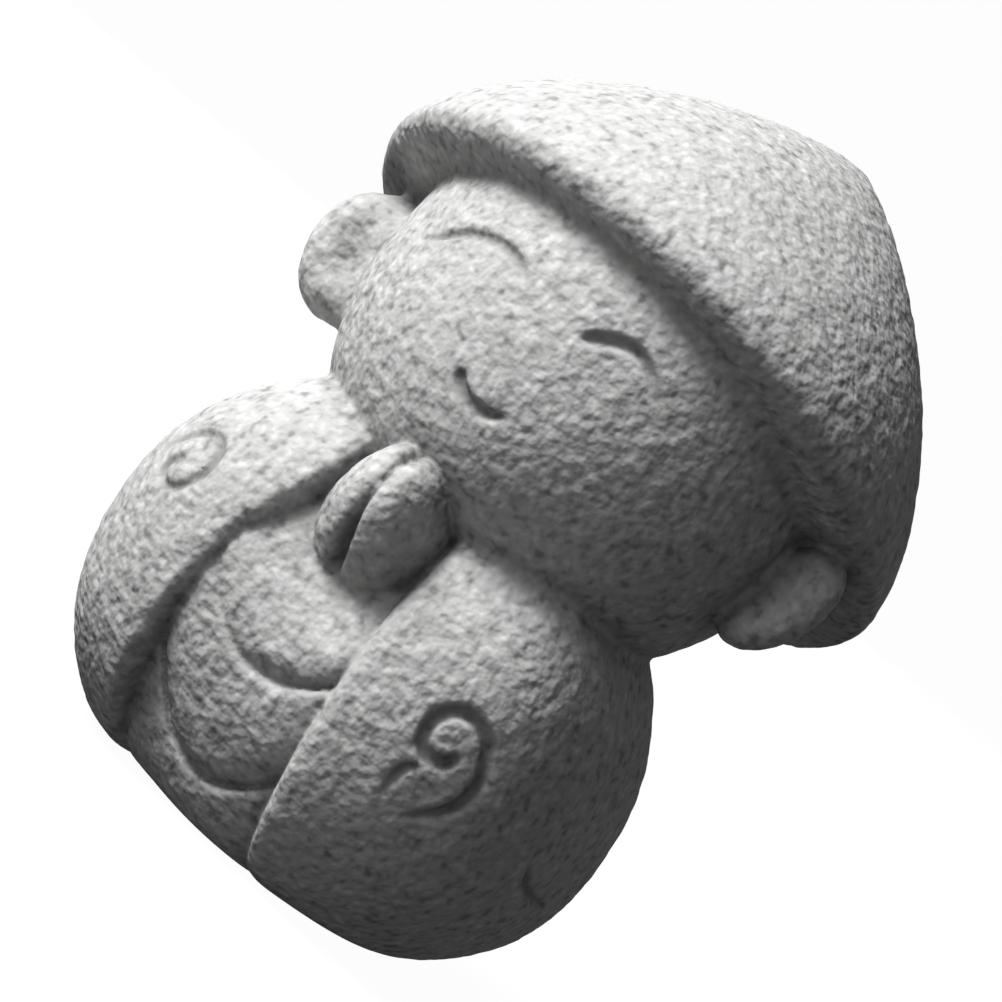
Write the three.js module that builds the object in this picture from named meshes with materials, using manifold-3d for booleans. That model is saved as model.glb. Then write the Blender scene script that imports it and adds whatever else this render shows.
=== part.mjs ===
// Stone figurine of a smiling child monk in a broad conical hat, palms joined.
// One carved solid, standing on its flat base.  Millimetres, +Z up, the figure
// faces -Y and its left hand is on +X.  Origin: on the surface it stands on,
// under the middle of the whole.
import * as THREE from 'three';
import { mergeVertices } from 'three/addons/utils/BufferGeometryUtils.js';
import Module from 'manifold-3d';

const wasm = await Module();
wasm.setup();

const DEG = Math.PI / 180;

// ---------------------------------------------------------------- dimensions
// how far behind the modelling origin the middle of the whole is, seen from
// above; at the end that middle is put on the origin
const MIDDLE_Y = 2.12;

// robe: an egg that leans forward a little, cut off flat below
const ROBE_HALF_W = 37.3;
const ROBE_HALF_D = 32.2;
const ROBE_MID_X = -0.46;
const ROBE_MID_Y = -3.91;
const ROBE_MID_Z = 27.0;     // widest level
const ROBE_UP = 36.2;        // from the widest level to the egg's top
const ROBE_DOWN = 33.8;      // from the widest level to the egg's bottom
const ROBE_POW = 2.91;       // fullness of its outline seen from above (2 is an ellipse)
const ROBE_POW_UP = 2.07;    // fullness of the shoulders
const ROBE_POW_DOWN = 2.46;  // fullness of the hem
const ROBE_LEAN_X = -0.009;  // the middle moves to its left with height
const ROBE_LEAN = 0.297;     // the middle moves forward with height
const ROBE_SLOPE = -0.07;    // the widest level drops towards the front
const UPRIGHT = 0.207;       // the front leans less, by this much,
const UPRIGHT_AT = 13.3, UPRIGHT_WIDE = 45.8;    // about this azimuth, this widely (degrees)
const HEM_ROUND = 2.6;       // rounding between side and base

// front panel of the robe, seen between the two sleeves
const PANEL_DEPTH = 3.0;     // below the sleeves
const PANEL_HEM_DEPTH = 0.4, PANEL_HEM_Z = 13;   // it runs out flush at the hem
const PANEL_MID = -1.6;      // middle of the panel
const PANEL_HALF = 13.7, PANEL_NARROW = 0.09;    // half width at z = 0, less per mm up
const FOLD_1_Z = 21.9, FOLD_1_BEND = 0.048;      // upper hanging fold
const FOLD_2_Z = 6.6, FOLD_2_BEND = 0.055;       // lower hanging fold
const FOLD_R = 1.0;

// head: a full round shape sunk into the shoulders
const HEAD_AT = [1.34, -6.28, 74.38];
const HEAD_HALF = [33.3, 30.8, 32.3];
const HEAD_POW = 2.38;       // fullness of the jaw (2 is an ellipsoid)
const HEAD_ROLL = -1.2;      // degrees, tipped to the figure's right
const HEAD_PITCH = 8.4;      // degrees, tipped back

// ears: flat lobes beside the cheeks
const EARS_AT = [0.9, -6.65, 72.5];
const EAR_OUT = 35.6, EAR_BACK = 0.3, EAR_DROP = 4.4;
const EAR_HALF = [7.3, 4.0, 8.9];

// hat: a convex cone, tilted back on the head
const HAT_AT = [0, 2.05, 76.5];
const HAT_TILT = 24.4;
const HAT_R = 44.1, HAT_H = 44.1;
const HAT_POW_R = 1.18, HAT_POW_Z = 1.59;
const HAT_UNDER = 3.2;       // rim thickness below the widest circle
const RIM_R = 3.2;           // rounding of the rim

// joined palms
const HANDS_X = -1.0;        // the split between them
const HAND_OUT = 1.4, HAND_Y = -27.7, HAND_Z = 44.55;
const HAND_HALF = [7.3, 8.75, 13.25];
const HAND_LEAN = 46.3;      // degrees, fingertips forward
const HAND_TAPER = 0.22;     // narrower towards the fingertips
const SPLIT_R = 1.5;         // half width of the split
const SPLIT_DEEP = 3.0;      // its depth below the knuckles, less towards the tips

// incised lines
const CURL_R = 0.9;          // half width of the sleeve curls
const FACE_LINE_R = 0.75;    // half width of eyes and mouth

// ---------------------------------------------------------------- helpers
function solid(geometry) {
  const g = geometry.clone();
  g.deleteAttribute('normal');
  g.deleteAttribute('uv');
  const m = mergeVertices(g, 1e-4);
  return new wasm.Manifold(new wasm.Mesh({
    numProp: 3,
    vertProperties: new Float32Array(m.attributes.position.array),
    triVerts: new Uint32Array(m.index.array),
  }));
}

function shaped(geometry, fn) {
  const p = geometry.attributes.position;
  const v = new THREE.Vector3();
  for (let i = 0; i < p.count; i++) {
    v.fromBufferAttribute(p, i);
    fn(v);
    p.setXYZ(i, v.x, v.y, v.z);
  }
  return geometry;
}

// a unit ball whose poles lie on the z axis
const ball = (columns, rows) =>
  new THREE.SphereGeometry(1, columns, rows).rotateX(Math.PI / 2);

// ---------------------------------------------------------------- robe
const noDepth = () => 0;
const smoothstep = (t) => { const c = Math.min(Math.max(t, 0), 1); return c * c * (3 - 2 * c); };
const panelDepth = (z) =>
  PANEL_HEM_DEPTH + (PANEL_DEPTH - PANEL_HEM_DEPTH) * smoothstep(z / PANEL_HEM_Z);

// less than 0 inside the egg, more than 0 outside, with its side moved in by depth(z)
function robeValue(x, y, z, depth) {
  const w = z - ROBE_MID_Z, yy = y - ROBE_MID_Y, d = depth(z);
  const h = w + ROBE_SLOPE * yy;
  const up = Math.abs(h) / ((h > 0 ? ROBE_UP : ROBE_DOWN) - d);
  const front = (Math.atan2(x - ROBE_MID_X, -yy) / DEG - UPRIGHT_AT) / UPRIGHT_WIDE;
  const lean = ROBE_LEAN - UPRIGHT * Math.exp(-front * front);
  const across = Math.abs(x - ROBE_MID_X + ROBE_LEAN_X * w) / (ROBE_HALF_W - d);
  const along = Math.abs(yy + lean * w) / (ROBE_HALF_D - d);
  return (across ** ROBE_POW + along ** ROBE_POW) ** (2 / ROBE_POW)
    + up ** (h > 0 ? ROBE_POW_UP : ROBE_POW_DOWN) - 1;
}

// where the line from `inside` along `d` leaves the egg
function leaveRobe(inside, d, depth) {
  let a = 0, b = 80;
  for (let i = 0; i < 44; i++) {
    const t = (a + b) / 2;
    if (robeValue(inside.x + d.x * t, inside.y + d.y * t, inside.z + d.z * t, depth) < 0) a = t; else b = t;
  }
  return new THREE.Vector3().copy(inside).addScaledVector(d, (a + b) / 2);
}

// the robe's egg with its underside pressed flat onto z = floor
function robe(columns, rows, depth, floor) {
  const middle = new THREE.Vector3(ROBE_MID_X, ROBE_MID_Y, ROBE_MID_Z);
  return solid(shaped(ball(columns, rows), (v) => {
    const q = leaveRobe(middle, v.clone().normalize(), depth);
    const h = Math.max(HEM_ROUND - Math.abs(q.z), 0) / HEM_ROUND;
    v.set(q.x, q.y, Math.max(q.z, floor) + h * h * HEM_ROUND / 4);
  }));
}

// the base's many small triangles become a few large ones
let figure = robe(48, 32, noDepth, 0).simplify(0);

// the opening between the sleeves, cut from the front
const OPEN_LOW = -2, OPEN_HIGH = 56, OPEN_BACK = -12;
const halfOpening = (z) => PANEL_HALF - PANEL_NARROW * z;
const opening = new THREE.Shape();
opening.moveTo(halfOpening(OPEN_LOW), OPEN_LOW);
opening.lineTo(halfOpening(OPEN_HIGH), OPEN_HIGH);
opening.lineTo(-halfOpening(OPEN_HIGH), OPEN_HIGH);
opening.lineTo(-halfOpening(OPEN_LOW), OPEN_LOW);
opening.closePath();
const openingCut = new THREE.ExtrudeGeometry(opening, { depth: 60, bevelEnabled: false });
openingCut.rotateX(Math.PI / 2);             // the shape's y becomes z, depth runs to -y
openingCut.translate(PANEL_MID, OPEN_BACK, 0);
figure = figure.subtract(solid(openingCut).subtract(robe(40, 28, panelDepth, -1)));

// a groove cutter: a round bar along a smooth curve
function bar(points, radius, steps) {
  const curve = new THREE.CatmullRomCurve3(points, false, 'centripetal');
  const section = new THREE.Shape();
  section.absarc(0, 0, radius, 0, 2 * Math.PI, false);
  return solid(new THREE.ExtrudeGeometry(section, {
    steps, curveSegments: 5, bevelEnabled: false, extrudePath: curve,
  }));
}

// hanging folds of the panel
for (const [low, bend] of [[FOLD_1_Z, FOLD_1_BEND], [FOLD_2_Z, FOLD_2_BEND]]) {
  const run = [];
  for (let i = -6; i <= 6; i++) {
    const x = i / 6 * 11.6;
    const z = low + bend * x * x;
    const q = leaveRobe(new THREE.Vector3(PANEL_MID + x, ROBE_MID_Y, z), new THREE.Vector3(0, -1, 0), panelDepth);
    run.push(q.add(new THREE.Vector3(0, -0.15, 0)));
  }
  figure = figure.subtract(bar(run, FOLD_R, 14));
}

// ---------------------------------------------------------------- head, ears
const roll = new THREE.Matrix4().makeRotationY(HEAD_ROLL * DEG);
const headFrame = new THREE.Matrix4().makeTranslation(...HEAD_AT)
  .multiply(roll).multiply(new THREE.Matrix4().makeRotationX(-HEAD_PITCH * DEG));
const earFrame = new THREE.Matrix4().makeTranslation(...EARS_AT).multiply(roll);
const head = shaped(ball(36, 24), (v) => {
  v.divideScalar((Math.hypot(v.x, v.y) ** HEAD_POW + Math.abs(v.z) ** HEAD_POW) ** (1 / HEAD_POW));
});
head.scale(...HEAD_HALF);
head.applyMatrix4(headFrame);
figure = figure.add(solid(head));
for (const side of [-1, 1]) {
  const ear = ball(16, 12);
  ear.scale(...EAR_HALF);
  ear.translate(side * EAR_OUT, EAR_BACK, -EAR_DROP);
  ear.applyMatrix4(earFrame);
  figure = figure.add(solid(ear));
}

// ---------------------------------------------------------------- hat
// outline from the middle of the underside, round the rim, up to the tip
const outline = [new THREE.Vector2(0, -HAT_UNDER)];
const RIM_STEPS = 4, SIDE_STEPS = 13, TIP_STEP = 0.05;
for (let i = 0; i <= RIM_STEPS; i++) {
  const a = (-90 + 90 * i / RIM_STEPS) * DEG;
  outline.push(new THREE.Vector2(
    HAT_R - RIM_R * (1 - Math.cos(a)), RIM_R - HAT_UNDER + RIM_R * Math.sin(a)));
}
const sideHeight = (r) => HAT_H * (1 - (r / HAT_R) ** HAT_POW_R) ** (1 / HAT_POW_Z);
for (let i = 1; i < SIDE_STEPS; i++) {
  const r = HAT_R * (1 - (1 - TIP_STEP) * (i / (SIDE_STEPS - 1)) ** 1.2);
  outline.push(new THREE.Vector2(r, sideHeight(r)));
}
outline.push(new THREE.Vector2(0, sideHeight(HAT_R * TIP_STEP) + 0.35));
const hat = new THREE.LatheGeometry(outline, 48);
hat.rotateX(Math.PI / 2);                    // the lathe's axis y becomes z
hat.rotateX(-HAT_TILT * DEG);
hat.translate(...HAT_AT);
figure = figure.add(solid(hat));

// ---------------------------------------------------------------- palms
for (const side of [-1, 1]) {
  const hand = shaped(ball(20, 16), (v) => { v.x *= 1 - HAND_TAPER * v.z; });
  hand.scale(...HAND_HALF);
  hand.rotateX(HAND_LEAN * DEG);
  hand.translate(HANDS_X + side * HAND_OUT, HAND_Y, HAND_Z);
  figure = figure.add(solid(hand));
}
// the split runs down the front of the palms, from the tips to the wrists
const split = [];
for (let i = 0; i <= 8; i++) {
  const a = (4 + 140 * i / 8) * DEG;
  const sunk = SPLIT_DEEP * smoothstep(i / 5) - SPLIT_R + 0.2;
  split.push(new THREE.Vector3(0, -(HAND_HALF[1] - sunk) * Math.sin(a), (HAND_HALF[2] - sunk) * Math.cos(a))
    .applyAxisAngle(new THREE.Vector3(1, 0, 0), HAND_LEAN * DEG)
    .add(new THREE.Vector3(HANDS_X, HAND_Y, HAND_Z)));
}
figure = figure.subtract(bar(split, SPLIT_R, 12));

// ---------------------------------------------------------------- face lines
// point of the face at azimuth `a` (degrees from its middle) and height z above its centre
function onFace(a, z) {
  const ring = (1 - Math.abs(z / HEAD_HALF[2]) ** HEAD_POW) ** (1 / HEAD_POW);
  return new THREE.Vector3(HEAD_HALF[0] * ring * Math.sin(a * DEG),
    -HEAD_HALF[1] * ring * Math.cos(a * DEG), z).applyMatrix4(headFrame);
}
// each closed eye is an arch from its inner to its outer end, highest at `peak` of the way
const EYES = [
  { inner: -9.9, outer: -40.0, peak: 0.3, top: 3.2, innerDrop: 1.4, outerDrop: 4.3 },
  { inner: 8.9, outer: 30.6, peak: 0.52, top: 3.2, innerDrop: 2.9, outerDrop: 3.1 },
];
for (const eye of EYES) {
  const run = [];
  for (let i = 0; i <= 6; i++) {
    const t = i / 6;
    const drop = t < eye.peak ? eye.innerDrop * (1 - t / eye.peak) ** 2
      : eye.outerDrop * ((t - eye.peak) / (1 - eye.peak)) ** 2;
    run.push(onFace(eye.inner + (eye.outer - eye.inner) * t, eye.top - drop));
  }
  figure = figure.subtract(bar(run, FACE_LINE_R, 10));
}
const MOUTH_MID = -0.5, MOUTH_HALF = 7.7, MOUTH_LOW = -14.5, MOUTH_RISE = 2.0;
const smile = [];
for (let i = -3; i <= 3; i++)
  smile.push(onFace(MOUTH_MID + i / 3 * MOUTH_HALF, MOUTH_LOW + MOUTH_RISE * (i / 3) ** 2));
figure = figure.subtract(bar(smile, FACE_LINE_R, 8));

// ---------------------------------------------------------------- sleeve curls
// A curl is a line that turns to the right.  `turn` is how much, in degrees per
// mm, at even steps along its length.  u runs round the sleeve, away
// from the panel, and v runs up, both in mm from the curl's middle, which lies
// at `azimuth` degrees from the front and at height z.
const CURLS = [
  { side: 1, azimuth: 42.5, z: 30.4, start: [0.68, -0.41], heading: 266.7, length: 33.4,
    turn: [24.9, 24.6, 11.8, 17.6, 10.9, 4.4, 9.3, 6.6, -4.2] },
  { side: -1, azimuth: 42.6, z: 36.0, start: [0.73, -0.47], heading: -2.1, length: 27.1,
    turn: [31.6, 26.2, 4.5, 21.0, 9.4, -3.6] },
];
// the short stroke under the curl of the left sleeve
const TUCK = [[-2.23, -4.33], [-3.09, -5.15], [-3.43, -6.46], [-3.49, -8.02], [-3.13, -9.59]];
const SLEEVE_R = 37.5;       // mean radius of the sleeve at the curls

function curlRun({ start, heading, length, turn }, every) {
  const pts = [];
  let [u, v] = start, h = heading;
  const ds = 0.1, n = Math.round(length / ds);
  for (let i = 0; i <= n; i++) {
    if (i % every === 0 || i === n) pts.push([u, v]);
    const t = i / n * (turn.length - 1), k = Math.min(Math.floor(t), turn.length - 2);
    h -= (turn[k] + (turn[k + 1] - turn[k]) * (t - k)) * ds;
    u += Math.cos(h * DEG) * ds;
    v += Math.sin(h * DEG) * ds;
  }
  return pts;
}
function onSleeve(c, [u, v]) {
  const t = c.azimuth * DEG + u / SLEEVE_R;
  return leaveRobe(new THREE.Vector3(0, ROBE_MID_Y, c.z + v),
    new THREE.Vector3(c.side * Math.sin(t), -Math.cos(t), 0), noDepth);
}
for (const c of CURLS)
  figure = figure.subtract(bar(curlRun(c, 15).map((p) => onSleeve(c, p)), CURL_R, 22));
figure = figure.subtract(bar(TUCK.map((p) => onSleeve(CURLS[0], p)), CURL_R * 0.8, 4));

// ---------------------------------------------------------------- the part
const made = figure.translate(0, -MIDDLE_Y, 0).getMesh();
const geometry = new THREE.BufferGeometry();
const xyz = new Float32Array(made.numVert * 3);
for (let i = 0; i < made.numVert; i++)
  for (let k = 0; k < 3; k++) xyz[i * 3 + k] = made.vertProperties[i * made.numProp + k];
geometry.setAttribute('position', new THREE.BufferAttribute(xyz, 3));
geometry.setIndex(new THREE.BufferAttribute(new Uint32Array(made.triVerts), 1));
geometry.computeVertexNormals();

const stone = new THREE.MeshStandardMaterial({
  name: 'grey stone', color: 0x9b9b99, roughness: 0.9, metalness: 0,
});
const mesh = new THREE.Mesh(geometry, stone);
mesh.name = 'figure';

const part = new THREE.Group();
part.name = 'stone_figurine';
part.add(mesh);
export default part;
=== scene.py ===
# Stone figurine of a smiling child monk in a broad conical hat, palms joined.
# The visible stone is one mesh, made from an implicit surface in millimetres
# (+Z up, the figure faces -Y) and written in metres.
import math
import numpy as np
import bpy
from mathutils import Matrix, Vector


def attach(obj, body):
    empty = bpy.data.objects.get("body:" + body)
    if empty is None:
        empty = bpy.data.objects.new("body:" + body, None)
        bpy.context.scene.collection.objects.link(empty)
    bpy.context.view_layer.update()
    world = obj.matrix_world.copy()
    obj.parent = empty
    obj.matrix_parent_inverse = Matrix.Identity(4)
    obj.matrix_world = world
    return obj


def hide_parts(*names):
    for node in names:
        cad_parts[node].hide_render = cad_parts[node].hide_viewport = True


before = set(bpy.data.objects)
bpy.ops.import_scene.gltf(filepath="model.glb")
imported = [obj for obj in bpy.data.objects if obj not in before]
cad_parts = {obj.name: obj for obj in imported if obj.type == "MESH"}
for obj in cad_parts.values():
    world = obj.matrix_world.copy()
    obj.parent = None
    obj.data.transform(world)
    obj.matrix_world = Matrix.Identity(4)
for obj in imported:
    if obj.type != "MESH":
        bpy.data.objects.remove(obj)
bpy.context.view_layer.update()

MM = 0.001
DEG = math.pi / 180

# ------------------------------------------------------------------ dimensions
# how far behind the modelling origin the middle of the whole is, seen from
# above; at the end that middle is put on the origin
MIDDLE_Y = 2.12

ROBE_X, ROBE_Y, ROBE_Z = -0.46, -3.91, 27.0   # middle of the widest level
ROBE_A, ROBE_B = 37.3, 32.2             # half width, half depth
ROBE_UP, ROBE_LOW = 36.2, 33.8          # up to the egg's top, down to its bottom
ROBE_POW, ROBE_POW_UP, ROBE_POW_LOW = 2.91, 2.07, 2.46   # squareness round the waist, up, down
ROBE_LEAN_X, ROBE_LEAN, ROBE_SLOPE = -0.009, 0.297, -0.070
# the front leans less: by how much, about which azimuth, how widely
UPRIGHT, UPRIGHT_AT, UPRIGHT_WIDE = 0.207, 13.3, 45.8
HEM_K = 2.6
PANEL_DEPTH, PANEL_HEM_DEPTH = 3.4, 1.1
WALL_SLOPE = 0.50                       # the opening's sides widen towards the front
SLEEVE_K = 1.6

HEAD_AT = (1.34, -6.28, 74.38)
HEAD_HALF = (33.3, 30.8, 32.3)
HEAD_POW = 2.38                         # fullness of the jaw
HEAD_ROLL, HEAD_PITCH = -1.2, 8.4
EARS_AT, EARS_PITCH = (0.9, -6.65, 72.5), 4.0
# each ear: side, middle, half sizes, lean outwards, turn of its face inwards, blend with the cheek
EARS = ((1, (36.6, -0.2, -4.5), (5.7, 3.9, 8.9), 22.0, 16.0, 1.3),
        (-1, (35.4, -3.4, -4.6), (7.2, 4.4, 9.2), 6.0, 4.0, 3.8))

HAT_AT = (0.0, 2.05, 76.5)
HAT_TILT, HAT_ROLL = 24.4, 0.5
HAT_R, HAT_H = 44.1, 44.1
HAT_POW_R, HAT_POW_Z = 1.18, 1.59
HAT_UNDER, RIM_K = 3.2, 3.3
RIM_FROM, RIM_BEVEL = 37.0, 0.20        # the underside rises outside this radius

SPLIT_X = -1.3                          # between the palms
# each palm: side, middle, half sizes
HANDS = ((1, (0.2, -27.7, 44.55), (7.7, 8.75, 13.25)),
         (-1, (-2.2, -27.7, 44.55), (7.2, 8.75, 13.25)))
HAND_LEAN = 46.3
HAND_TAPER = 0.22                       # the palms narrow towards the fingertips

GRID = 0.5                              # spacing of the sampling grid
TRIANGLES = 186000


# ------------------------------------------------------------------ small tools
def rot_x(a):
    c, s = math.cos(a * DEG), math.sin(a * DEG)
    return np.array([[1, 0, 0], [0, c, -s], [0, s, c]])


def rot_y(a):
    c, s = math.cos(a * DEG), math.sin(a * DEG)
    return np.array([[c, 0, s], [0, 1, 0], [-s, 0, c]])


def smin(a, b, k):
    h = np.maximum(k - np.abs(a - b), 0) / k
    return np.minimum(a, b) - h * h * (k * 0.25)


def smax(a, b, k):
    return -smin(-a, -b, k)


def step01(a, b, x):
    t = np.clip((x - a) / (b - a), 0, 1)
    return t * t * (3 - 2 * t)


def ellipsoid(x, y, z, a, b, c):
    k0 = np.sqrt((x / a) ** 2 + (y / b) ** 2 + (z / c) ** 2)
    k1 = np.sqrt((x / a ** 2) ** 2 + (y / b ** 2) ** 2 + (z / c ** 2) ** 2) + 1e-9
    return k0 * (k0 - 1) / k1


def rot_z(a):
    c, s = math.cos(a * DEG), math.sin(a * DEG)
    return np.array([[c, -s, 0], [s, c, 0], [0, 0, 1]])


def local(R, at, x, y, z):
    x, y, z = x - at[0], y - at[1], z - at[2]
    return [R[0, i] * x + R[1, i] * y + R[2, i] * z for i in range(3)]


HEAD_R = rot_y(HEAD_ROLL) @ rot_x(-HEAD_PITCH)
EARS_R = rot_y(HEAD_ROLL) @ rot_x(-EARS_PITCH)
HAT_RM = rot_y(HAT_ROLL) @ rot_x(-HAT_TILT)


# ------------------------------------------------------------------ robe
def egg(x, y, z):
    w, xx, yy = z - ROBE_Z, x - ROBE_X, y - ROBE_Y
    front = (np.degrees(np.arctan2(xx, -yy)) - UPRIGHT_AT) / UPRIGHT_WIDE
    lean = ROBE_LEAN - UPRIGHT * np.exp(-front * front)
    xx, yl = xx + ROBE_LEAN_X * w, yy + lean * w
    X, Y, h = np.abs(xx) / ROBE_A + 1e-6, np.abs(yl) / ROBE_B + 1e-6, w + ROBE_SLOPE * yy
    up = h > 0
    c = np.where(up, ROBE_UP, ROBE_LOW)
    n = np.where(up, ROBE_POW_UP, ROBE_POW_LOW)
    u = np.abs(h) / c + 1e-6
    t = u ** (n - 1)
    s = X ** ROBE_POW + Y ** ROBE_POW
    e = s ** (2 / ROBE_POW - 1)
    g = s * e + t * u - 1
    gx = 2 * e * X ** (ROBE_POW - 1) / ROBE_A * np.sign(xx)
    gy = 2 * e * Y ** (ROBE_POW - 1) / ROBE_B * np.sign(yl)
    gh = n * t / c * np.sign(h)
    size = np.sqrt(gx * gx + (gy + gh * ROBE_SLOPE) ** 2
                   + (gh + gx * ROBE_LEAN_X + gy * lean) ** 2) + 1e-6
    k0 = np.sqrt(np.maximum(g + 1, 1e-6))
    return 2 * k0 * (k0 - 1) / size


# half width of the opening between the sleeves at the panel, by height, on each side
LEFT_Z = np.array([-3, 9.5, 17.6, 23.7, 29.8, 34.8, 40, 45, 62.0])
LEFT_W = np.array([14.9, 14.9, 14.7, 13.9, 13.1, 12.3, 10.2, 8.6, 6.0])
LEFT_TABLE = np.linspace(-3, 62, 131)
LEFT_WIDE = np.convolve(np.interp(LEFT_TABLE, LEFT_Z, LEFT_W), np.hanning(15) / np.hanning(15).sum(), 'same')
LEFT_WIDE[:8], LEFT_WIDE[-8:] = LEFT_WIDE[8], LEFT_WIDE[-9]


def opening(x, z):
    return np.where(x > 0, 10.4 - 0.077 * z, np.interp(z, LEFT_TABLE, LEFT_WIDE))


# the hanging folds: lowest point (x, z), bend, depth, how weak the fold is on the figure's right
FOLDS = ((-1.13, 21.9, 0.048, 1.6, 0.35), (-1.19, 6.6, 0.055, 1.6, 0.75))


def panel_rise(x, z):
    rise = np.zeros_like(z)
    for (mid, low, bend, deep, weak), full, at, reach in zip(FOLDS, (2.3, 1.1), (3.2, 6.0), (9.0, 7.5)):
        s = z - low - bend * (x - mid) ** 2
        # each tier is a little fuller in its middle and falls away to a lip below
        rise += full * np.exp(-((s - at) / reach) ** 2)
        above = np.exp(-np.maximum(s, 0) / 1.4)
        below = np.exp(np.minimum(s, 0) / 0.45)
        deep = deep * (weak + (1 - weak) * step01(-8, 2, x))
        rise -= deep * np.where(s > 0, above, below * 0.8 + 0.2 * np.exp(np.minimum(s, 0) / 2.5))
    return rise


def robe(x, y, z):
    out = egg(x, y, z)
    depth = PANEL_HEM_DEPTH + (PANEL_DEPTH - PANEL_HEM_DEPTH) * step01(-1, 14, z)
    wall = opening(x, z) + WALL_SLOPE * np.clip(out + depth, -1, 6)
    into = (wall - np.abs(x)) * 0.894
    edge = 0.5 * np.exp(-np.clip(into, 0, 20) / 0.8)
    panel = out + depth - panel_rise(x, z) + edge
    gap = np.minimum(into, -3.0 - y)
    sleeves = smax(out, gap, SLEEVE_K)
    f = smin(panel, sleeves, 0.5)
    return smax(f, -z, HEM_K)


# ------------------------------------------------------------------ head, hat
def head(x, y, z):
    x, y, z = local(HEAD_R, HEAD_AT, x, y, z)
    a, b, c = HEAD_HALF
    r = np.sqrt((x / a) ** 2 + (y / b) ** 2) + 1e-6
    h = np.abs(z / c)
    k0 = (r ** HEAD_POW + h ** HEAD_POW) ** (1 / HEAD_POW)
    kr, kh = (r / k0) ** (HEAD_POW - 1), (h / k0) ** (HEAD_POW - 1)
    return (k0 - 1) / np.sqrt((kr / r) ** 2 * ((x / a ** 2) ** 2 + (y / b ** 2) ** 2) + (kh / c) ** 2)


EAR_R = [rot_y(side * lean) @ rot_z(-side * turn) for side, _, _, lean, turn, _ in EARS]


def add_ears(f, x, y, z):
    q = local(EARS_R, EARS_AT, x, y, z)
    for R, (side, at, half, _, _, blend) in zip(EAR_R, EARS):
        x, y, z = local(R, (side * at[0], at[1], at[2]), *q)
        ear = ellipsoid(x, y, z, *half)
        # the front of the ear is slightly hollow
        cup = ellipsoid(x, y + half[1] + 0.7, z, half[0] * 0.78, 2.4, half[2] * 0.76)
        f = smin(f, smax(ear, -cup, 1.6), blend)
    return f


def hat(x, y, z):
    tx, ty, tz = local(HAT_RM, HAT_AT, x, y, z)
    r = np.sqrt(tx * tx + ty * ty + 0.25)
    zc = np.maximum(tz, 0)
    g = (r / HAT_R) ** HAT_POW_R + (zc / HAT_H) ** HAT_POW_Z - 1
    gr = HAT_POW_R / HAT_R * (r / HAT_R) ** (HAT_POW_R - 1)
    gz = HAT_POW_Z / HAT_H * (np.maximum(zc, 1e-3) / HAT_H) ** (HAT_POW_Z - 1)
    d = g / np.sqrt(gr * gr + gz * gz)
    under = (tz + HAT_UNDER - RIM_BEVEL * np.maximum(r - RIM_FROM, 0)) * 0.95
    return smax(d, -under, RIM_K)


# ------------------------------------------------------------------ palms
VALLEY_Z = np.array([34.0, 37.2, 39.5, 42.9, 46.3, 49.4, 52.4, 56.0, 59.0])
VALLEY_Y = np.array([-27.0, -29.7, -31.7, -34.5, -37.3, -38.5, -37.4, -31.0, -25.5])


HAND_R = rot_x(HAND_LEAN)


def hands(x, y, z):
    both = None
    front = np.interp(z, VALLEY_Z, VALLEY_Y) - y
    for side, at, half in HANDS:
        q = local(HAND_R, at, x, y, z)
        f = ellipsoid(q[0] / (1 - HAND_TAPER * np.clip(q[2] / half[2], -1.2, 1.2)), q[1], q[2], *half)
        flank = (0.38 * np.maximum(front, -3) - side * (x - SPLIT_X)) * 0.935
        f = smax(f, flank, 0.6)
        both = f if both is None else smin(both, f, 0.25)
    return both


def shape(x, y, z):
    f = smin(head(x, y, z), hat(x, y, z), 1.6)
    f = add_ears(f, x, y, z)
    f = smin(robe(x, y, z), f, 1.1)
    return smin(f, hands(x, y, z), 0.6)


# ------------------------------------------------------------------ incised lines
def ray_hit(fn, p, d, reach=70.0):
    a, b = 0.0, reach
    for _ in range(40):
        t = (a + b) / 2
        if fn(*(p + d * t)) < 0:
            a = t
        else:
            b = t
    return p + d * (a + b) / 2


def smooth_line(points, n):
    p = np.asarray(points, float)
    p = np.vstack([2 * p[0] - p[1], p, 2 * p[-1] - p[-2]])
    out = []
    for i in range(1, len(p) - 2):
        for t in np.arange(n) / n:
            a, b, c, d = p[i - 1], p[i], p[i + 1], p[i + 2]
            out.append(0.5 * ((2 * b) + (c - a) * t + (2 * a - 5 * b + 4 * c - d) * t * t
                              + (3 * b - a - 3 * c + d) * t ** 3))
    out.append(p[-2])
    return np.array(out)


def on_sleeve(azimuth, z):
    d = np.array([math.sin(azimuth * DEG), -math.cos(azimuth * DEG), 0.0])
    return ray_hit(lambda x, y, zz: egg(np.array([x]), np.array([y]), np.array([zz]))[0],
                   np.array([0.0, ROBE_Y, z]), d)


def on_face(x, z):
    return ray_hit(lambda a, b, c: head(np.array([a]), np.array([b]), np.array([c]))[0],
                   np.array([x, HEAD_AT[1], z]), np.array([0.0, -1.0, 0.0]))


SLEEVE_R = 37.5


def curl(start, heading, length, turn):
    """A line that turns to the right by `turn` degrees per mm along its length: (u, v) in mm, v up."""
    u, v, h, pts, ds = start[0], start[1], heading, [], 0.1
    n = int(round(length / ds))
    for i, k in enumerate(np.interp(np.arange(n + 1) / n * (len(turn) - 1), range(len(turn)), turn)):
        if i % 5 == 0 or i == n:
            pts.append((u, v))
        h -= k * ds
        u += math.cos(h * DEG) * ds
        v += math.sin(h * DEG) * ds
    return pts


def sleeve_line(pts, side, azimuth, z):
    return np.array([on_sleeve(side * (azimuth + u / SLEEVE_R / DEG), z + v) for u, v in pts])


def face_line(pts):
    return np.array([on_face(x, z) for x, z in smooth_line(pts, 6)])


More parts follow.
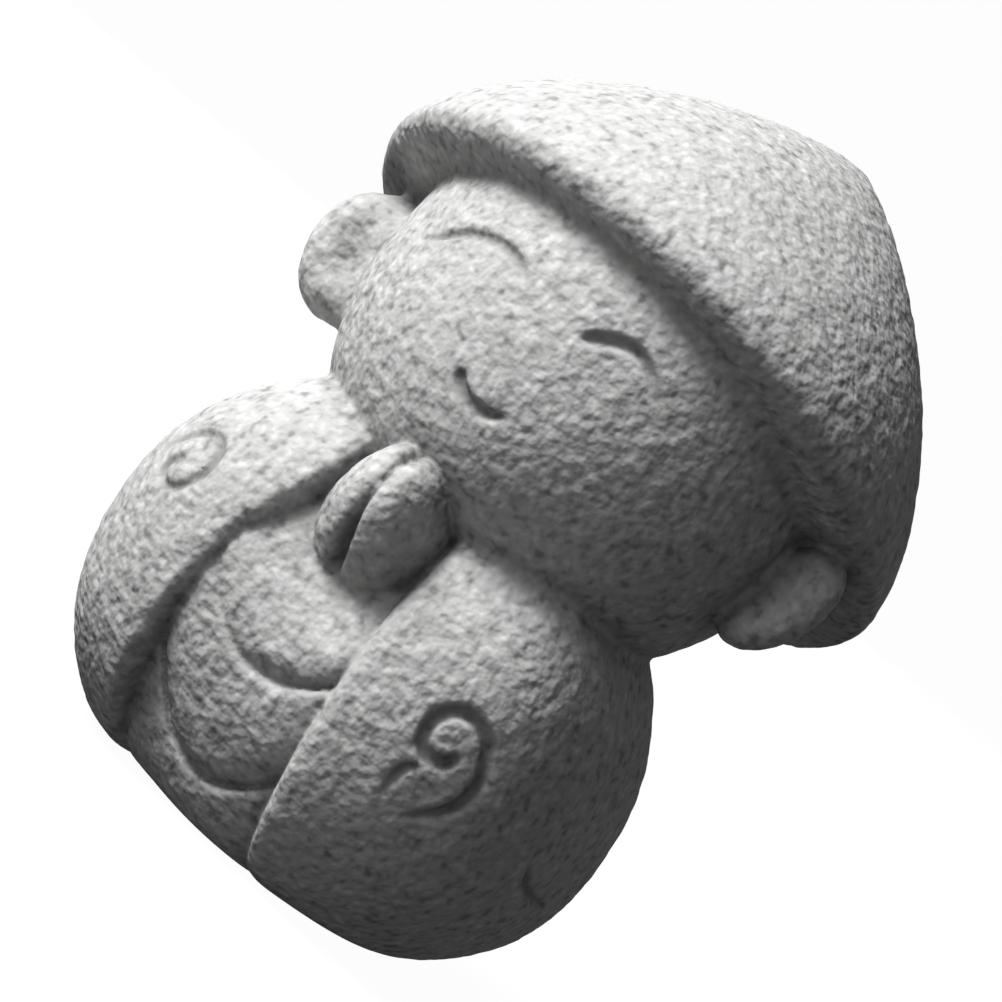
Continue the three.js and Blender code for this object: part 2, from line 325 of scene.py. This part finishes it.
LEFT_AT, RIGHT_AT = (42.5, 30.4), (42.6, 36.0)     # azimuth from the front, height
LEFT_CURL = curl((0.68, -0.41), 266.7, 33.4, (24.9, 24.6, 11.8, 17.6, 10.9, 4.4, 9.3, 6.6, -4.2))
RIGHT_CURL = curl((0.73, -0.47), -2.1, 27.1, (31.6, 26.2, 4.5, 21.0, 9.4, -3.6))
TUCK = smooth_line([(-2.23, -4.33), (-3.09, -5.15), (-3.43, -6.46), (-3.49, -8.02), (-3.13, -9.59)], 6)
FAR_ARC = [(75.5, 23.4), (79.6, 21.3), (88.3, 19.6), (99.3, 19.0)]

# each line: points on the surface, half width, taper length at start and end
lines = [
    (sleeve_line(LEFT_CURL, 1, *LEFT_AT), 0.96, 1.2, 8.0),
    (sleeve_line(TUCK, 1, *LEFT_AT), 0.72, 2.0, 3.5),
    (sleeve_line(RIGHT_CURL, -1, *RIGHT_AT), 0.60, 0.8, 6.0),
    (np.array([on_sleeve(az, z) for az, z in smooth_line(FAR_ARC, 6)]), 0.55, 3.0, 4.0),
    (face_line([(-20.1, 76.3), (-17.7, 78.4), (-15.0, 80.1), (-11.7, 81.3), (-8.2, 81.6), (-4.5, 80.5)]), 0.70, 4.0, 3.0),
    (face_line([(6.4, 79.2), (8.1, 80.4), (10.4, 81.6), (13.0, 82.0), (15.8, 80.7), (18.2, 78.7)]), 0.92, 1.4, 9.0),
    (face_line([(-3.1, 66.6), (-2.0, 65.3), (-0.3, 64.5), (1.8, 64.3), (3.8, 64.8), (5.4, 66.0)]), 0.84, 1.0, 3.4),
]


def prepare(line):
    p, r, t0, t1 = line
    seg = np.linalg.norm(np.diff(p, axis=0), axis=1)
    s = np.concatenate([[0], np.cumsum(seg)])
    m = (s[:-1] + s[1:]) / 2
    rad = r * np.sqrt(np.clip(m / t0, 0.05, 1)) * np.sqrt(np.clip((s[-1] - m) / t1, 0.05, 1))
    return p, rad, p.min(0) - 2.2, p.max(0) + 2.2


lines = [prepare(l) for l in lines]


def carve(f, x, y, z, lines=lines, k=0.45):
    """Cut the incised lines; also says how close each point is to one."""
    near = np.full(f.shape, 9.0)
    for p, rad, lo, hi in lines:
        m = (x > lo[0]) & (x < hi[0]) & (y > lo[1]) & (y < hi[1]) & (z > lo[2]) & (z < hi[2])
        i = np.flatnonzero(m)
        if not len(i):
            continue
        q = np.stack([x[i], y[i], z[i]], 1).astype(float)
        best = np.full(len(i), 9.0)
        for a, b, r in zip(p[:-1], p[1:], rad):
            ab = b - a
            t = np.clip((q - a) @ ab / (ab @ ab), 0, 1)
            d = np.linalg.norm(q - a - t[:, None] * ab, axis=1) - r
            best = np.minimum(best, d)
        near[i] = np.minimum(near[i], best)
    return smax(f, -near, k), near


def solid(x, y, z):
    return carve(shape(x, y, z), x, y, z)[0]


# ------------------------------------------------------------------ sampling
def sample():
    lo, hi = np.array([-46.0, -45.5, -2.0]), np.array([46.0, 45.5, 119.0])
    big = GRID * 4
    n = np.ceil((hi - lo) / big).astype(int)
    c = [lo[k] + big * (np.arange(n[k]) + 0.5) - GRID / 2 for k in range(3)]
    C = np.meshgrid(*c, indexing='ij')
    coarse = shape(C[0].ravel(), C[1].ravel(), C[2].ravel()).reshape(n)
    full = coarse.astype(np.float32)
    for ax in range(3):
        full = full.repeat(4, ax)
    near = np.abs(full) < 3.4
    i = np.flatnonzero(near)
    a, b, c = np.unravel_index(i, full.shape)
    x, y, z = lo[0] + GRID * a, lo[1] + GRID * b, lo[2] + GRID * c
    full.ravel()[i] = solid(x, y, z).astype(np.float32)
    return full, lo


def surface_nets(F, lo, h):
    """One vertex in each cell that the surface crosses, one quad for each crossed edge."""
    S = F < 0
    cnt = np.zeros(tuple(s - 1 for s in F.shape), np.int8)
    corners = [(i, j, k) for i in (0, 1) for j in (0, 1) for k in (0, 1)]
    nx, ny, nz = F.shape
    for i, j, k in corners:
        cnt += S[i:nx - 1 + i, j:ny - 1 + j, k:nz - 1 + k]
    mixed = (cnt > 0) & (cnt < 8)
    cells = np.argwhere(mixed)
    idx = np.full(mixed.shape, -1, np.int64)
    idx[mixed] = np.arange(len(cells))
    V = np.stack([F[cells[:, 0] + i, cells[:, 1] + j, cells[:, 2] + k] for i, j, k in corners], 1).astype(float)
    co = np.array(corners, float)
    acc, num = np.zeros((len(cells), 3)), np.zeros(len(cells))
    for a in range(8):
        for b in range(a + 1, 8):
            if np.abs(co[a] - co[b]).sum() != 1:
                continue
            cross = (V[:, a] < 0) != (V[:, b] < 0)
            t = V[:, a] / np.where(cross, V[:, a] - V[:, b], 1)
            acc += np.where(cross[:, None], co[a] + t[:, None] * (co[b] - co[a]), 0)
            num += cross
    verts = lo + h * (cells + acc / num[:, None])
    quads = []
    for ax in range(3):
        u, v = (ax + 1) % 3, (ax + 2) % 3
        A = np.moveaxis(S, (ax, u, v), (0, 1, 2))
        I = np.moveaxis(idx, (ax, u, v), (0, 1, 2))
        a, b = A[:-1, 1:-1, 1:-1], A[1:, 1:-1, 1:-1]
        for m, order in ((a & ~b, 1), (~a & b, -1)):
            i, j, k = np.nonzero(m)
            q = [I[i, j, k], I[i, j + 1, k], I[i, j + 1, k + 1], I[i, j, k + 1]]
            quads.append(np.stack(q[::order], 1))
    return verts, np.concatenate(quads)


def gradient(fn, p, e=0.12):
    g = np.empty_like(p)
    for k in range(3):
        d = np.zeros(3)
        d[k] = e
        a, b = p + d, p - d
        g[:, k] = (fn(a[:, 0], a[:, 1], a[:, 2]) - fn(b[:, 0], b[:, 1], b[:, 2])) / (2 * e)
    return g


# ------------------------------------------------------------------ noise on the mesh
rng = np.random.RandomState(11)
LATTICE = rng.uniform(-1, 1, (48, 48, 48)).astype(np.float64)
TURN = rot_x(34) @ rot_y(27) @ rot_z(51)    # keeps the lattice off the figure's own axes


def noise(p, wave, shift=0.0):
    q = p @ TURN / wave + 24 + shift
    i = np.floor(q).astype(int)
    f = q - i
    f = f * f * f * (f * (f * 6 - 15) + 10)
    out = 0
    for a in (0, 1):
        for b in (0, 1):
            for c in (0, 1):
                w = (f[:, 0] if a else 1 - f[:, 0]) * (f[:, 1] if b else 1 - f[:, 1]) * (f[:, 2] if c else 1 - f[:, 2])
                out = out + w * LATTICE[(i[:, 0] + a) % 48, (i[:, 1] + b) % 48, (i[:, 2] + c) % 48]
    return out


# ------------------------------------------------------------------ the stone's mesh
field, low = sample()
verts, quads = surface_nets(field, low, GRID)
del field
for _ in range(2):
    f = solid(verts[:, 0], verts[:, 1], verts[:, 2])
    g = gradient(solid, verts)
    g2 = np.maximum((g * g).sum(1), 0.05)
    step = np.clip(f / g2, -0.3, 0.3)
    verts = verts - g * step[:, None]

g = gradient(solid, verts)
g /= np.linalg.norm(g, axis=1)[:, None] + 1e-9
near = carve(np.zeros(len(verts)), verts[:, 0], verts[:, 1], verts[:, 2])[1]
rough = step01(-0.1, 1.2, near)                       # cut lines are smoother
hand_cut = 0.05 * noise(verts, 9.0) + 0.03 * noise(verts, 4.6, 7.3)
grain = 0.06 * noise(verts, 2.4, 3.1) + 0.11 * noise(verts, 1.45, 9.4)
move = (hand_cut + grain * rough) * step01(0.3, 2.5, verts[:, 2])
verts = verts + g * move[:, None]
verts[:, 2] = np.maximum(verts[:, 2], 0.0)
verts[:, 1] -= MIDDLE_Y

mesh = bpy.data.meshes.new("stone_raw")
mesh.vertices.add(len(verts))
mesh.vertices.foreach_set("co", (verts * MM).astype(np.float32).ravel())
mesh.loops.add(quads.size)
mesh.loops.foreach_set("vertex_index", quads.astype(np.int32).ravel())
mesh.polygons.add(len(quads))
mesh.polygons.foreach_set("loop_start", np.arange(0, quads.size, 4, dtype=np.int32))
mesh.polygons.foreach_set("loop_total", np.full(len(quads), 4, dtype=np.int32))
mesh.update(calc_edges=True)
mesh.validate()

raw = bpy.data.objects.new("stone_raw", mesh)
bpy.context.scene.collection.objects.link(raw)
thin = raw.modifiers.new("thin", 'DECIMATE')
thin.ratio = min(1.0, TRIANGLES / (2.0 * len(quads)))
bpy.context.view_layer.update()
done = bpy.data.meshes.new_from_object(raw.evaluated_get(bpy.context.evaluated_depsgraph_get()))
done.name = "stone_figure"
bpy.data.objects.remove(raw)
figure = bpy.data.objects.new("stone_figure", done)
bpy.context.scene.collection.objects.link(figure)
done.polygons.foreach_set("use_smooth", np.ones(len(done.polygons), bool))

co = np.empty(len(done.vertices) * 3, np.float32)
done.vertices.foreach_get("co", co)
co = co.reshape(-1, 3).astype(float) / MM
co[:, 1] += MIDDLE_Y                                  # back in the modelling frame
near = carve(np.zeros(len(co)), co[:, 0], co[:, 1], co[:, 2])[1]
# how much of the space in front of each point is filled by other parts of the figure; the stone's colour is darkened
# by it as painted shade
out = gradient(shape, co, 0.4)
out /= np.linalg.norm(out, axis=1)[:, None] + 1e-9
# once for hollows between the parts, once for narrow grooves
occlusion_shade = np.zeros(len(co))
for scales in (((2.0, 0.3), (4.5, 0.35), (8.0, 0.35)), ((0.9, 0.3), (2.0, 0.35), (4.0, 0.35))):
    total = np.zeros(len(co))
    for d, share in scales:
        p = co + out * d
        total += share * np.clip(1 - shape(p[:, 0], p[:, 1], p[:, 2]) / d, 0, 1)
    occlusion_shade = np.maximum(occlusion_shade, total)
# painted shade: this occlusion amount is stored to darken the stone's colour in hollows
painted_shade = done.attributes.new("painted_shade", 'FLOAT', 'POINT')
painted_shade.data.foreach_set("value", np.clip(occlusion_shade, 0, 1).astype(np.float32))
# near the cut lines: darkens the colour there as painted shade, and also softens the bump and lowers the roughness
cut = done.attributes.new("cut", 'FLOAT', 'POINT')
cut.data.foreach_set("value", (1 - step01(-0.3, 0.7, near)).astype(np.float32))

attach(figure, "root")
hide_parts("figure")

# ------------------------------------------------------------------ stone material
mat = bpy.data.materials.new("grey_stone")
mat.use_nodes = True
nt = mat.node_tree
nodes, links = nt.nodes, nt.links
bsdf = nodes["Principled BSDF"]
bsdf.inputs["Metallic"].default_value = 0.0
bsdf.inputs["IOR"].default_value = 1.45
bsdf.inputs["Specular IOR Level"].default_value = 0.25


def node(kind, **sockets):
    n = nodes.new(kind)
    for name, value in sockets.items():
        n.inputs[name].default_value = value
    return n


coord = nodes.new("ShaderNodeTexCoord")


def noise_node(scale, detail, rough=0.55, distortion=0.0):
    n = node("ShaderNodeTexNoise", Scale=scale, Detail=detail, Roughness=rough, Distortion=distortion)
    links.new(coord.outputs["Object"], n.inputs["Vector"])
    return n.outputs["Fac"]


def maths(op, a, b=None, clamp=False):
    n = nodes.new("ShaderNodeMath")
    n.operation = op
    n.use_clamp = clamp
    for i, v in enumerate((a, b)):
        if v is None:
            continue
        if isinstance(v, (int, float)):
            n.inputs[i].default_value = v
        else:
            links.new(v, n.inputs[i])
    return n.outputs[0]


def ramp(src, stops):
    n = nodes.new("ShaderNodeValToRGB")
    links.new(src, n.inputs["Fac"])
    el = n.color_ramp.elements
    while len(el) < len(stops):
        el.new(0.5)
    for e, (pos, v) in zip(el, stops):
        e.position = pos
        e.color = (v, v, v, 1) if isinstance(v, (int, float)) else (*v, 1)
    return n.outputs["Color"]


attr = nodes.new("ShaderNodeAttribute")
attr.attribute_name = "cut"
cut_mask = attr.outputs["Fac"]
attr = nodes.new("ShaderNodeAttribute")
attr.attribute_name = "painted_shade"
painted_shade_mask = attr.outputs["Fac"]

lumps = noise_node(400, 1.0, 0.6)            # 2.5 mm, soft
grains = noise_node(880, 0.6, 0.5)           # 1.1 mm
fine = noise_node(2400, 1.0, 0.5)            # 0.4 mm crystals

height = maths('ADD', maths('MULTIPLY', lumps, 0.70),
               maths('ADD', maths('MULTIPLY', grains, 0.80), maths('MULTIPLY', fine, 0.05)))
bump = nodes.new("ShaderNodeBump")
bump.inputs["Distance"].default_value = 0.00042
links.new(height, bump.inputs["Height"])
links.new(maths('SUBTRACT', 1.0, maths('MULTIPLY', cut_mask, 0.6)), bump.inputs["Strength"])
links.new(bump.outputs["Normal"], bsdf.inputs["Normal"])

# colour: light grey with slightly darker and paler crystals and faint cloudy patches
cloud = noise_node(38, 3.0, 0.55)
speck = ramp(noise_node(620, 1.2, 0.55), [(0.27, 0.58), (0.42, 0.94), (0.57, 1.04), (0.74, 1.28)])
tone = maths('MULTIPLY', maths('ADD', 0.94, maths('MULTIPLY', cloud, 0.12)), speck)
# painted shade: the colour is darkened in the hollows between the parts and in the cut lines
tone = maths('MULTIPLY', tone, maths('SUBTRACT', 1.0, maths('MULTIPLY', painted_shade_mask, 0.62)))
# painted shade in the cut lines
tone = maths('MULTIPLY', tone, maths('SUBTRACT', 1.0, maths('MULTIPLY', cut_mask, 0.30)))
grey = nodes.new("ShaderNodeMix")
grey.data_type = 'RGBA'
grey.blend_type = 'MULTIPLY'
grey.inputs["Factor"].default_value = 1.0
grey.inputs["A"].default_value = (0.60, 0.60, 0.595, 1)
comb = nodes.new("ShaderNodeCombineColor")
for ch in ("Red", "Green", "Blue"):
    links.new(tone, comb.inputs[ch])
links.new(comb.outputs["Color"], grey.inputs["B"])
links.new(grey.outputs["Result"], bsdf.inputs["Base Color"])
rgh = maths('ADD', 0.74, maths('MULTIPLY', fine, 0.26))
links.new(maths('SUBTRACT', rgh, maths('MULTIPLY', cut_mask, 0.08)), bsdf.inputs["Roughness"])
done.materials.clear()
done.materials.append(mat)

# ------------------------------------------------------------------ camera
CAM_AZ, CAM_EL, CAM_ROLL, CAM_DIST = 20.75, 4.26, 39.0, 700.0
PX_PER_MM, FRAME = 7.86, 1002
CENTRE_PX = (503.18, 501.52)
a, e, r = CAM_AZ * DEG, CAM_EL * DEG, CAM_ROLL * DEG
back = Vector((math.sin(a) * math.cos(e), -math.cos(a) * math.cos(e), math.sin(e)))
right = Vector((math.cos(a), math.sin(a), 0))
up = back.cross(right)
im_right = right * math.cos(r) + up * math.sin(r)
im_up = up * math.cos(r) - right * math.sin(r)
target = Vector((0, -5.25 - MIDDLE_Y, 55.33))
target -= im_right * ((CENTRE_PX[0] - FRAME / 2) / PX_PER_MM)
target += im_up * ((CENTRE_PX[1] - FRAME / 2) / PX_PER_MM)
eye = (target + back * CAM_DIST) * MM
cam_data = bpy.data.cameras.new("camera")
cam_data.sensor_fit = 'HORIZONTAL'
cam_data.sensor_width = 36.0
cam_data.lens = PX_PER_MM * CAM_DIST / FRAME * 36.0
cam_data.clip_start, cam_data.clip_end = 0.01, 20.0
cam = bpy.data.objects.new("camera", cam_data)
m = Matrix((im_right, im_up, back)).transposed().to_4x4()
m.translation = eye
cam.matrix_world = m
bpy.context.scene.collection.objects.link(cam)
bpy.context.scene.camera = cam


# ------------------------------------------------------------------ floor, lights
def ring_profile():
    """Floor, then a wide curve up into a high wall."""
    pts = [(0.0, 0.0), (0.05, 0.0), (0.15, 0.0), (0.4, 0.0), (0.9, 0.0), (1.6, 0.0)]
    for i in range(1, 13):
        t = i / 12 * math.pi / 2
        pts.append((1.6 + 1.2 * math.sin(t), 1.2 - 1.2 * math.cos(t)))
    pts.append((2.8, 3.5))
    return pts


prof = ring_profile()
N = 96
fv = [(0, 0, 0)]
for rr, zz in prof[1:]:
    fv += [(rr * math.cos(2 * math.pi * i / N), rr * math.sin(2 * math.pi * i / N), zz) for i in range(N)]
ff = [(0, 1 + i, 1 + (i + 1) % N) for i in range(N)]
for k in range(len(prof) - 2):
    o, p = 1 + k * N, 1 + (k + 1) * N
    ff += [(o + i, p + i, p + (i + 1) % N, o + (i + 1) % N) for i in range(N)]
fm = bpy.data.meshes.new("floor")
fm.from_pydata(fv, [], ff)
fm.polygons.foreach_set("use_smooth", np.ones(len(fm.polygons), bool))
floor = bpy.data.objects.new("floor", fm)
bpy.context.scene.collection.objects.link(floor)
fmat = bpy.data.materials.new("pale_floor")
fmat.use_nodes = True
fb = fmat.node_tree.nodes["Principled BSDF"]
fb.inputs["Base Color"].default_value = (0.05, 0.05, 0.05, 1)
fb.inputs["Roughness"].default_value = 1.0
fb.inputs["Specular IOR Level"].default_value = 0.0
fb.inputs["Emission Color"].default_value = (1, 1, 1, 1)
fb.inputs["Emission Strength"].default_value = 0.97
fm.materials.append(fmat)
floor.visible_diffuse = False
floor.visible_glossy = False


def area(name, direction, distance, size, power):
    d = Vector(direction).normalized()
    light = bpy.data.lights.new(name, 'AREA')
    light.shape = 'DISK'
    light.size = size
    light.energy = power
    ob = bpy.data.objects.new(name, light)
    ob.location = Vector((0, 0, 0.06)) + d * distance
    ob.rotation_euler = d.to_track_quat('Z', 'Y').to_euler()
    ob.visible_camera = False
    bpy.context.scene.collection.objects.link(ob)
    return ob


def toward(azimuth, elevation):
    """Direction of a light: azimuth from the figure's front, positive to its left."""
    t, p = azimuth * DEG, elevation * DEG
    return math.sin(t) * math.cos(p), -math.cos(t) * math.cos(p), math.sin(p)


area("key", toward(-56, 42), 1.3, 0.5, 23.0)
area("front", toward(-30, 42), 1.3, 0.45, 2.2)
area("low", toward(-30, 6), 1.3, 0.45, 1.1)
area("fill", toward(15, 6), 1.3, 0.45, 0.80)
area("back", toward(-150, 6), 1.3, 0.45, 5.5)
area("rear", toward(160, 6), 1.3, 0.45, 0.9)

world = bpy.data.worlds.new("world")
bpy.context.scene.world = world
world.use_nodes = True
bg = world.node_tree.nodes["Background"]
bg.inputs["Color"].default_value = (1, 1, 1, 1)
bg.inputs["Strength"].default_value = 0.05

bpy.context.scene.view_settings.view_transform = 'Standard'
bpy.context.scene.view_settings.look = 'None'
